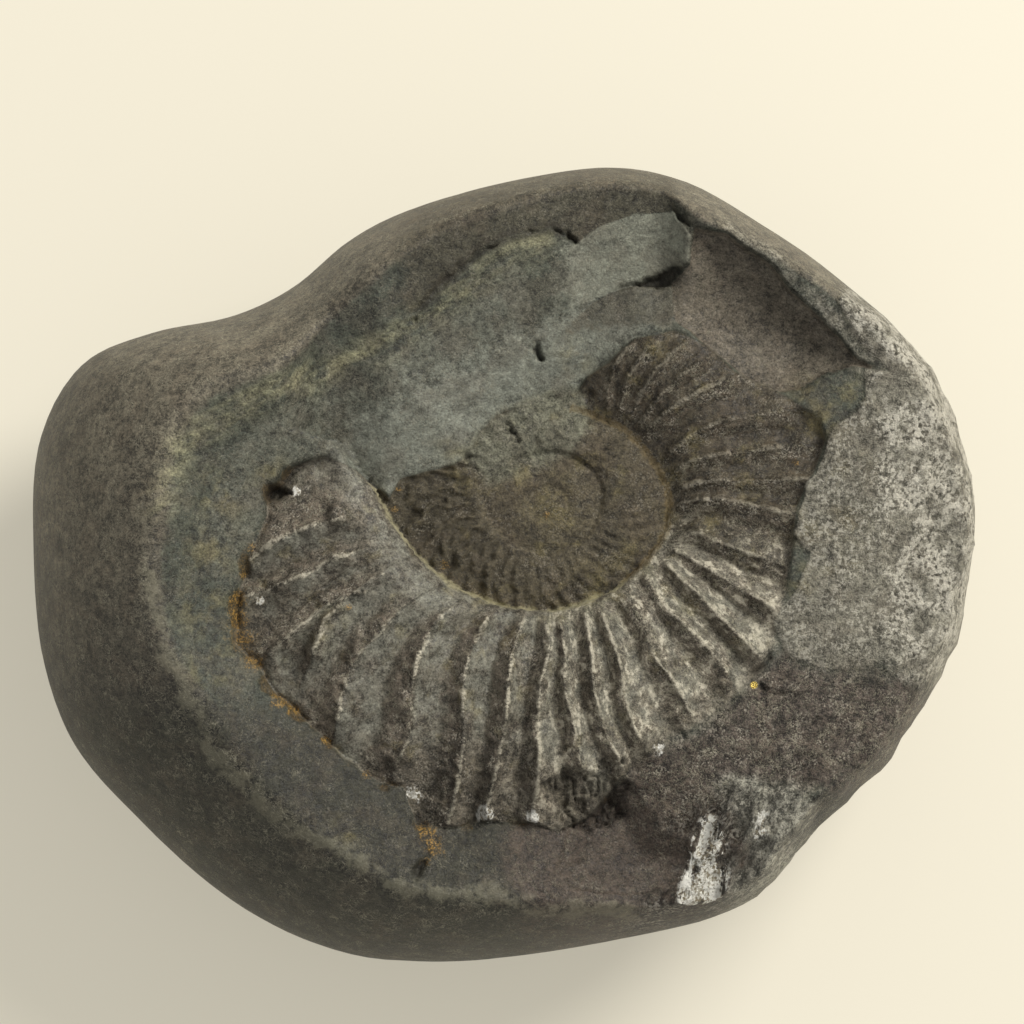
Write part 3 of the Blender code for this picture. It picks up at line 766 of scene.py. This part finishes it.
stone_bm.to_mesh(stone_mesh)
stone_bm.free()
stone_mesh.shade_smooth()
stone = bpy.data.objects.new("worn_stone", stone_mesh)
bpy.context.scene.collection.objects.link(stone)
print(len(stone_mesh.vertices), "points,", len(stone_mesh.polygons), "triangles, height",
      round(points[:, 2].max(), 1), "mm")

# %% [markdown]
# ## Where the colours go
#
# The sculpting already knows where each kind of ground is, so the masks are stored on the mesh as
# attributes. A few more mark what has no shape of its own: white calcite, rust, a grain of pyrite
# and the olive stain round the seams.

# %% Masks on the mesh
CALCITE = (
    (18.8, -23.6, 0.9), (18.8, -24.8, 1.3), (18.3, -26.2, 1.3), (18.9, -27.6, 1.3), (18.2, -29, 1.7),
    (18.9, -30.4, 1.2), (17.2, -30, 1.1), (23.4, -22.8, 0.6), (23.3, -24, 0.6), (-8.1, -20.6, 0.7),
    (-1.6, -22.5, 0.65), (-21.9, -3.3, 0.4), (-18.8, 6.7, 0.4), (2.6, -22.8, 0.5), (14, -16.5, 0.5),
)
RUST = (
    (-23.8, -3.2, 1.1), (-23.9, -5, 1.3), (-23.6, -6.6, 1.5), (-22.6, -8.8, 1.2), (-20.4, -12.5, 0.9),
    (-19, -13, 0.7), (-16, -15.8, 0.5), (-12.4, -18.9, 0.5), (-6.9, -24.2, 1.1), (-6.3, -25.4, 1.3),
    (-7, -26.8, 0.6), (-5.3, 0.3, 0.6), (-9.9, 5.4, 0.5), (-9.6, 7.2, 0.4), (-22.8, 1.6, 0.5),
    (3.9, 4.9, 0.5), (-23.6, -1, 0.5), (-14, -4, 0.5), (26.6, 9.5, 0.5),
)
OLIVE = (
    (-5, 10.8, 0.9), (6.5, 19.2, 1.5), (8, -3, 1.2), (-2.5, -3, 1.4), (4, -4, 1.2), (12, 1.5, 1.0),
    (15.2, 5, 0.8), (15.3, 8.5, 0.8), (-15.5, -5, 1.2), (-16.6, -7, 0.9), (17, -4, 1.0), (-4, 8, 1.5),
    (2, 8.5, 1.4), (4.4, 6, 2.2), (28.9, 12.5, 0.8), (14, -8, 0.8), (19, 4, 1.0), (22, 7.5, 1.2),
    (17, 12.5, 0.9), (13.5, 20, 1.2), (-27, -10, 1.4), (-21, 8, 1.6), (-14, -24, 1.2),
    (31, 4, 1.8), (31.5, 9, 1.6), (30.5, 0, 1.4), (-26, -9, 2.2), (-27, -4, 2.4), (-26.5, 1, 2.2),
    (-25.5, 6, 2.2),
    (9, -1.8, 2.4), (12, 0.8, 2.0), (6.5, -2.6, 1.6),
    (29.5, 14, 2.2), (31, 15.2, 2.0), (28, 15.8, 1.6), (26.8, -1.5, 1.5), (27.3, 3.5, 1.5),
)
PYRITE = ((22.7, -10.8, 0.38),)


def spots(places):
    """A soft mask of round places, each given as x, y and half width."""
    mask = np.zeros(len(points))
    for place_x, place_y, half in places:
        reach = ((masks["drawing_x"] - place_x) ** 2 + (masks["drawing_y"] - place_y) ** 2) / half ** 2
        mask = np.maximum(mask, np.exp(-reach))
    return mask * masks["broken"]


masks.update(calcite=spots(CALCITE), rust=spots(RUST), olive=spots(OLIVE), pyrite=spots(PYRITE))
# Lighter towards the top and back of the stone: the worn top's own brown, and painted shade on the low and
# front sides of the skin.
masks["brown_top_and_low_shade"] = ramp(-26, 20, points[:, 1] - 0.15 * points[:, 0]) * ramp(15, 30, points[:, 2])
masks["outer_rough"] = masks["rough"] * ramp(29, 37, np.hypot(points[:, 0], 0.8 * points[:, 1]))
MASK_NAMES = (
    "broken", "fossil", "crest", "disc", "seam", "rough", "brown", "lower", "hollow", "scoop", "slab",
    "pale", "rim", "lower_rim", "gap", "dents", "calcite", "rust", "olive", "pyrite", "brown_top_and_low_shade",
    "flank", "valley", "torn", "band", "flow", "reach", "frayed", "dusky", "ragged_ends", "low_ledge",
    "outer_rough", "stained_skin", "tan_seam", "veil", "ledge", "groove",
)
for name in MASK_NAMES:
    layer = stone_mesh.attributes.new(name, "FLOAT", "POINT")
    layer.data.foreach_set("value", np.clip(masks[name], 0, 1).astype(np.float32))
print(len(MASK_NAMES), "masks")

# %% [markdown]
# ## A way to write shaders as sums
#
# A material is a graph of small sums. Wrapping a socket in a class lets Python's own signs add the
# Math nodes, so a finish reads like a formula.

# %% Shader sums
class Wire:
    """A number in a material, which Python's signs can use."""

    def __init__(self, paint, socket):
        self.paint, self.socket = paint, socket

    def math(self, operation, first, second):
        return self.paint.add("ShaderNodeMath", {"operation": operation}, {0: first, 1: second})

    def __add__(self, other):
        return self.math("ADD", self, other)

    def __sub__(self, other):
        return self.math("SUBTRACT", self, other)

    def __rsub__(self, other):
        return self.math("SUBTRACT", other, self)

    def __mul__(self, other):
        return self.math("MULTIPLY", self, other)

    __radd__ = __add__
    __rmul__ = __mul__

    def step(self, low, high):
        """0 below low, 1 above high, smooth in between."""
        return self.paint.add("ShaderNodeMapRange", {"interpolation_type": "SMOOTHSTEP"},
                              {"Value": self, "From Min": low, "From Max": high})

    def line(self, middle, half_width):
        """1 where the number is close to the middle: the thin outline of each cloud."""
        away = self.paint.add("ShaderNodeMath", {"operation": "ABSOLUTE"}, {0: self - middle})
        return 1 - away.step(half_width * 0.4, half_width)


class Paint:
    """A material with the nodes that its sums need."""

    def __init__(self, name):
        self.material = bpy.data.materials.new(name)
        self.material.use_nodes = True
        self.tree = self.material.node_tree
        self.shader = self.tree.nodes["Principled BSDF"]
        self.place = self.add("ShaderNodeTexCoord", {}, {}, "Object")

    def link(self, socket, value):
        if isinstance(value, Wire):
            self.tree.links.new(value.socket, socket)
        else:
            socket.default_value = value

    def add(self, kind, settings, values, output=0):
        node = self.tree.nodes.new(kind)
        for key, value in settings.items():
            setattr(node, key, value)
        for key, value in values.items():
            self.link(node.inputs[key], value)
        return Wire(self, node.outputs[output])

    def mask(self, name):
        return self.add("ShaderNodeAttribute", {"attribute_name": name}, {}, "Fac")

    def clouds(self, size_mm, detail=4.0, distortion=0.0, place=None, roughness=0.55):
        values = {"Vector": place or self.place, "Scale": 1 / (size_mm * MM), "Detail": detail,
                  "Distortion": distortion, "Roughness": roughness}
        return self.add("ShaderNodeTexNoise", {}, values, "Fac")

    def facets(self, size_mm):
        """A random level for each cell of a pattern of crystals."""
        values = {"Vector": self.place, "Scale": 1 / (size_mm * MM)}
        return self.add("ShaderNodeTexVoronoi", {}, values, "Color")

    def stretched(self, turn, stretch):
        """Places squeezed along one direction in plan, which draws clouds out into streaks along it."""
        return self.add("ShaderNodeMapping", {"vector_type": "TEXTURE"}, {
            "Vector": self.place, "Rotation": (0, 0, math.radians(turn)), "Scale": (stretch, 1, 1)})

    def at_least(self, value, floor_level):
        return self.add("ShaderNodeMath", {"operation": "MAXIMUM"}, {0: value, 1: floor_level})

    def blend(self, share, under, over):
        settings = {"data_type": "RGBA", "blend_type": "MIX", "clamp_factor": True}
        return self.add("ShaderNodeMix", settings, {0: share, 6: under, 7: over}, 2)

    def tint(self, colour, brightness):
        """A colour made lighter or darker by a number."""
        grey = self.add("ShaderNodeCombineXYZ", {}, {0: brightness, 1: brightness, 2: brightness})
        settings = {"operation": "MULTIPLY"}
        return self.add("ShaderNodeVectorMath", settings, {0: colour, 1: grey})

    def finish(self, name, value):
        self.link(self.shader.inputs[name], value)


def srgb(red, green, blue):
    """A colour as shown on a screen, 0 to 255, made linear."""
    levels = [c / 255 for c in (red, green, blue)]
    return (*[c / 12.92 if c < 0.04045 else ((c + 0.055) / 1.055) ** 2.4 for c in levels], 1.0)


# %% [markdown]
# ## The stone's finish
#
# A stone like this has no single colour. Each kind of ground gets its own base colour, softened and
# broken at its edge by clouds of noise, and the later marks lie over all of them. One material does
# it all, so the grounds share their grain and none of them looks pasted on.

# %% Grounds and noise patterns
STRIAE_PER_RIB, STRIAE_PER_MM = 3.2, 0.42
BAND_STREAKS, CALCITE_STREAKS = 28, 80  # degrees from +X
DARKEST_SHADE = 0.3
SPECULAR = 0.35
BUMP_MM = 0.26
FINEST_GRAIN = 0.16  # mm
# Each ground: its mask, its colour and how soft its edge is. Later ones lie over earlier ones.
GROUNDS = (
    ("ledge", (67, 70, 60), 0.7),
    ("band", (86, 87, 76), 0.8),
    ("pale", (116, 118, 106), 0.8),
    ("slab", (120, 121, 107), 0.8),
    ("low_ledge", (48, 47, 38), 0.9),
    ("fossil", (102, 95, 82), 0.4),
    ("frayed", (140, 131, 114), 0.7),
    ("dusky", (64, 57, 45), 0.8),
    ("disc", (80, 73, 57), 0.3),
    ("veil", (104, 103, 87), 0.8),
    ("rough", (132, 128, 114), 0.6),
    ("brown", (74, 66, 59), 0.9),
    ("lower", (150, 147, 133), 0.8),
    ("hollow", (93, 86, 74), 0.3),
    ("scoop", (66, 57, 49), 0.7),
)

dark_stone = Paint("dark_stone")
mask, blend, clouds, facets = dark_stone.mask, dark_stone.blend, dark_stone.clouds, dark_stone.facets
broad, middling = clouds(6), clouds(1.9)
fine, tiny = clouds(0.6, 6, 0, None, 0.7), clouds(FINEST_GRAIN, 3)
across_ribs = mask("flow") * (FLOW_RANGE * STRIAE_PER_RIB)
from_middle = mask("reach") * (REACH_RANGE * STRIAE_PER_MM)
rib_place = dark_stone.add("ShaderNodeCombineXYZ", {}, {0: across_ribs, 1: from_middle})
striae = clouds(1 / MM, 6, 0.3, rib_place, 0.65)
streaks = clouds(1.1, 5, 0.5, dark_stone.stretched(BAND_STREAKS, 5))
ragged = (middling - 0.5) * 0.9 + (fine - 0.5) * 0.9


def speckled(amount, spread, low, high):
    """A mask whose edge is broken up by the fine clouds."""
    return (amount + (fine - 0.5) * spread).step(low, high)


print("noise patterns ready, the finest", FINEST_GRAIN, "mm")

# %% Base colours
# The skin runs from a near-black painted shade on its low, front sides up to the worn top's own brown.
colour = blend(mask("brown_top_and_low_shade") + ragged * 0.7, srgb(31, 30, 27), srgb(97, 91, 77))
for name, paint_colour, softness in GROUNDS:
    edge = (mask(name) + ragged * softness).step(0.5 - 0.4 * softness, 0.5 + 0.4 * softness)
    colour = blend(edge, colour, srgb(*paint_colour))
stained = (mask("stained_skin") + ragged).step(0.3, 0.8)
colour = blend(stained * 0.7, colour, srgb(66, 60, 47))
fossil, disc, flank, dusky = mask("fossil"), mask("disc"), mask("flank"), mask("dusky")
frayed, crest, ends = mask("frayed"), mask("crest"), mask("ragged_ends")
broken, brown, rough, lower = mask("broken"), mask("brown"), mask("rough"), mask("lower")
last_whorl = fossil * (1 - disc)
# The long smooth side of each rib faces the lamp: its grey-green is the shell's own, and its lighter tone is
# painted light.
lit_smooth_side = last_whorl * (1 - flank) * (1 - ends)
lit_smooth_side = lit_smooth_side * (middling * 0.6 + broad * 0.5 + fine * 0.4).step(0.6, 0.8)
colour = blend(lit_smooth_side * (0.75 - dusky * 0.75), colour, srgb(107, 107, 96))
# The short steep side faces away from the lamp: its brown is the rough ground's own, darkened by painted
# shade.
shaded_steep_side = speckled(flank, 1.2, 0.3, 0.9) * last_whorl
colour = blend(shaded_steep_side * (0.65 - dusky * 0.3), colour, srgb(88, 79, 68))
yellow_rim = mask("rim") * (streaks + middling * 0.5).step(0.55, 0.95)
colour = blend(yellow_rim * 0.75, colour, srgb(138, 134, 104))
olive = mask("olive") * middling.step(0.4, 0.6) + fossil * clouds(2.3, 4).step(0.56, 0.7) * 0.7
colour = blend(olive * 0.5, colour, srgb(112, 102, 64))
warm = clouds(3.1, 5).step(0.45, 0.65)
colour = blend(warm * 0.3, colour, srgb(76, 65, 53))

# %% [markdown]
# Within each ground the stone is mottled. Clouds of four sizes are added up, and the sum makes the
# colour lighter or darker. The number called harsh says how strongly: broken brown rock is the
# most uneven, and the grey rock round the fossil the least.

# %% Light and dark mottling
grey_streaks = (mask("band") + mask("pale") + mask("slab")) * (streaks - 0.5)
harsh = 2.1 + fossil * 0.4 + brown * 1.3 + lower * 0.6
harsh = harsh - mask("ledge") * 0.4 - (mask("pale") + mask("slab")) * 0.7 - disc * 0.6 - lit_smooth_side * 0.4
mottle = (broad - 0.5) * 0.35 + (middling - 0.5) * 0.7 + (fine - 0.5) * 2.4 + (tiny - 0.5) * 1.6
shade = 1.02 + mottle * harsh + grey_streaks * 0.9 + (striae - 0.5) * last_whorl * (1.8 + frayed * 1.8)
flecks = clouds(0.9, 5, 0.4, None, 0.75)
shade = shade - flecks.step(0.58, 0.7) * 0.3 + (1 - flecks).step(0.6, 0.7) * 0.2
shade = shade - lower * clouds(2.4, 4, 0.6).step(0.48, 0.6) * 0.4
colour = dark_stone.tint(colour, dark_stone.at_least(shade, DARKEST_SHADE))

# %% [markdown]
# The rib crests are pale, partly from wear by handling and water and partly as painted highlight
# where they catch the lamp. The crest mask knows where each rib is sharp, and the fine clouds break
# it into scuffs. Short thin fibres and tiny glints lie over the rest.

# %% Pale crests from wear and painted highlight, seams, and painted shade in flutes and groove
# Pale crests: partly wear, partly painted highlight where the sharp edges catch the lamp.
crest_wear_and_highlight = (crest * 0.9 + (fine - 0.5) * 2.6 + (striae - 0.5) * 1.6 + (middling - 0.5) * 1.2).step(0.4, 1.0)
crest_wear_and_highlight = crest_wear_and_highlight * crest.step(0.05, 0.3) * (1 - dusky * 0.75)
colour = blend(crest_wear_and_highlight * 0.85, colour, srgb(200, 192, 170))
frayed_streaks = (striae + (fine - 0.5) * 0.9).step(0.54, 0.66) * frayed
colour = blend(frayed_streaks * 0.75, colour, srgb(208, 200, 178))
seam, tan_seam, valley = mask("seam"), mask("tan_seam"), mask("valley")
seam_edge = (seam + (fine - 0.5) * 1.8 + (middling - 0.5) * 1.6).step(0.5, 1.1) * seam.step(0.1, 0.4)
colour = blend(seam_edge * 0.7, colour, srgb(168, 160, 124))
tan = speckled(tan_seam, 1.8, 0.4, 1.0) * tan_seam.step(0.1, 0.4)
colour = blend(tan * 0.5, colour, srgb(118, 100, 62))
# Painted shade in the flutes of the inner whorls.
colour = blend(disc * speckled(valley, 1.2, 0.3, 0.9) * 0.28, colour, srgb(44, 38, 27))
# Painted shade along the foot of the step where the worn skin ends.
groove = speckled(mask("groove"), 1.4, 0.3, 0.9)
colour = blend(groove * 0.65, colour, srgb(48, 43, 34))
low_rim = (mask("lower_rim") + (fine - 0.5) * 1.4 + (middling - 0.5) * 2.4).step(0.5, 1.1)
colour = blend(low_rim * 0.45, colour, srgb(124, 120, 100))

# %% Fibres and glints
fibres = clouds(1.1, 3, 1.5).line(0.5, 0.022) + clouds(0.8, 2, 2.5).line(0.47, 0.025)
patchy = clouds(1.7, 3).step(0.38, 0.62) * 0.75 + 0.25
marked = 0.6 - broken * 0.3 + brown * 0.5 + fossil * (frayed * 0.5 + flank * 0.5 - disc * 0.3)
colour = blend(fibres * patchy * marked * 0.75, colour, srgb(162, 156, 134))
glints = facets(0.13).step(0.6, 0.8) * clouds(1.6, 4).step(0.44, 0.62)
glint_places = 0.06 + broken * 0.15 + fossil * 0.1 + flank * 0.7 + crest_wear_and_highlight * 0.5 + brown * 0.7 + ends * 0.6
colour = blend(glints * glint_places * 0.6, colour, srgb(186, 178, 160))

# %% [markdown]
# The minerals come last. The rough ground at the right is broken crystal, so small random cells
# catch the light there. Rust stains the gap beside the fossil, white calcite has upright streaks,
# and one grain of pyrite is a metal.

# %% Crystal sparkle and rust
outer_rough = mask("outer_rough")
crystals = facets(0.22) + (fine - 0.5) * 2.0
coarse = (facets(0.3) * 0.7 + fine * 1.2 - 0.36) * outer_rough
sparkle = crystals.step(0.5, 0.85) * (0.6 + outer_rough * 0.4) + coarse.step(0.46, 0.64) * 0.9
sparkle = sparkle * clouds(2.6, 5).step(0.36, 0.6)
colour = blend(sparkle * (rough + lower * 0.8) * 0.8, colour, srgb(220, 214, 197))
gap_mask, rust_mask = mask("gap"), mask("rust")
gap = (gap_mask + (fine - 0.5) * 2.2 + (middling - 0.5) * 0.8).step(0.3, 1.0) * gap_mask.step(0.05, 0.3)
gap_colour = blend(tiny.step(0.4, 0.6), srgb(50, 42, 28), srgb(98, 78, 44))
colour = blend(gap * 0.7, colour, gap_colour)
rust = (rust_mask * 1.3 + gap_mask * 0.4 + (fine - 0.5) * 2.6 + (tiny - 0.5) * 2).step(0.6, 1.5)
rust = rust * (rust_mask + gap).step(0.05, 0.3)
rust_colour = blend(facets(0.14).step(0.45, 0.7), srgb(82, 67, 40), srgb(172, 134, 64))
colour = blend(rust * 0.75, colour, rust_colour)

# %% Calcite, pyrite and painted shade in the holes
upright_streaks = clouds(0.9, 6, 0.4, dark_stone.stretched(CALCITE_STREAKS, 4), 0.65)
calcite_mask = mask("calcite")
calcite = (calcite_mask * 2.0 + (fine - 0.5) * 4.0 + (upright_streaks - 0.5) * 7.0).step(0.6, 1.3)
calcite = calcite * calcite_mask.step(0.05, 0.3)
calcite_shade = (upright_streaks + (facets(0.2) - 0.5) * 0.4).step(0.38, 0.6)
colour = blend(calcite, colour, blend(calcite_shade, srgb(146, 136, 112), srgb(255, 252, 240)))
pyrite = mask("pyrite").step(0.4, 0.5)
colour = blend(pyrite, colour, srgb(232, 204, 116))
torn = mask("torn")
# Painted shade in cracks, holes, torn rib ends and the flutes.
painted_recess_shade = mask("dents") * 0.55 + torn * 0.1 + valley * 0.12 + ends * 0.2
colour = blend(painted_recess_shade * (1.5 - fine), colour, srgb(30, 27, 23))
glossy = sparkle * rough * 0.25 + calcite * 0.15 + pyrite * 0.3
dark_stone.finish("Base Color", colour)
dark_stone.finish("Metallic", pyrite * 0.8)
dark_stone.finish("Specular IOR Level", SPECULAR)
dark_stone.finish("Roughness", 0.5 - glossy + (fine - 0.5) * 0.5)

# %% [markdown]
# Bump adds the grain that is too fine for the mesh. It is deepest on the broken grounds and the
# ribs, and shallow on the skin that the river has smoothed.

# %% Grain too fine for the mesh
depth = 0.45 - lit_smooth_side * 0.25 + flank * 0.4 + crest * 0.4 + rough * 0.9 + lower + brown * 0.8
depth = depth + disc * 0.3 + frayed * 0.6 + ends * 0.9 + torn
relief = (fine * 1.3 + tiny * 0.45 + middling * 0.6) * depth + (striae * 0.9) * last_whorl + fibres * 0.1
relief = relief + crystals * (rough + lower) * 0.5
normal = dark_stone.add("ShaderNodeBump", {}, {"Strength": 1.0, "Distance": BUMP_MM * MM, "Height": relief})
dark_stone.finish("Normal", normal)
stone_mesh.materials.append(dark_stone.material)
print("nodes in the stone's finish:", len(dark_stone.tree.nodes))

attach(stone, "root")
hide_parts("ammonite_stone")

# %% [markdown]
# ## The table and the light
#
# The stone lies on a plain pale surface. One large soft lamp, up and to the right, draws the ribs,
# and the light of a bright room fills the shadows.

# %% Floor
FLOOR_HALF_WIDTH = 3  # m

floor_bm = bmesh.new()
bmesh.ops.create_grid(floor_bm, x_segments=1, y_segments=1, size=FLOOR_HALF_WIDTH)
floor_mesh = bpy.data.meshes.new("floor")
floor_bm.to_mesh(floor_mesh)
floor_bm.free()
floor = bpy.data.objects.new("floor", floor_mesh)
bpy.context.scene.collection.objects.link(floor)
paper = Paint("paper")
paper.finish("Base Color", srgb(186, 180, 164))
paper.finish("Emission Color", srgb(255, 248, 226))
paper.finish("Emission Strength", 0.36)
paper.finish("Roughness", 0.9)
floor_mesh.materials.append(paper.material)
print("floor laid,", 2 * FLOOR_HALF_WIDTH, "m across")

# %% Lamps
KEY_DIRECTION = (0.62, 0.52, 0.72)
KEY_SIZE, KEY_DISTANCE, KEY_POWER = 0.42, 0.8, 7.0  # m, m and watts
ROOM_LIGHT = 0.46


def area_light(name, direction, distance, size, power, colour):
    data = bpy.data.lights.new(name, "AREA")
    data.shape = "DISK"
    data.size = size
    data.energy = power
    data.color = colour
    lamp = bpy.data.objects.new(name, data)
    bpy.context.scene.collection.objects.link(lamp)
    towards = Vector(direction).normalized()
    lamp.location = towards * distance
    lamp.rotation_euler = towards.to_track_quat("Z", "Y").to_euler()


area_light("key", KEY_DIRECTION, KEY_DISTANCE, KEY_SIZE, KEY_POWER, (1.0, 0.98, 0.94))
world = bpy.data.worlds.new("room")
world.use_nodes = True
world.node_tree.nodes["Background"].inputs["Color"].default_value = (1, 1, 1, 1)
world.node_tree.nodes["Background"].inputs["Strength"].default_value = ROOM_LIGHT
bpy.context.scene.world = world
bpy.context.scene.view_settings.view_transform = "Standard"
print("one lamp, and a world of strength", ROOM_LIGHT)
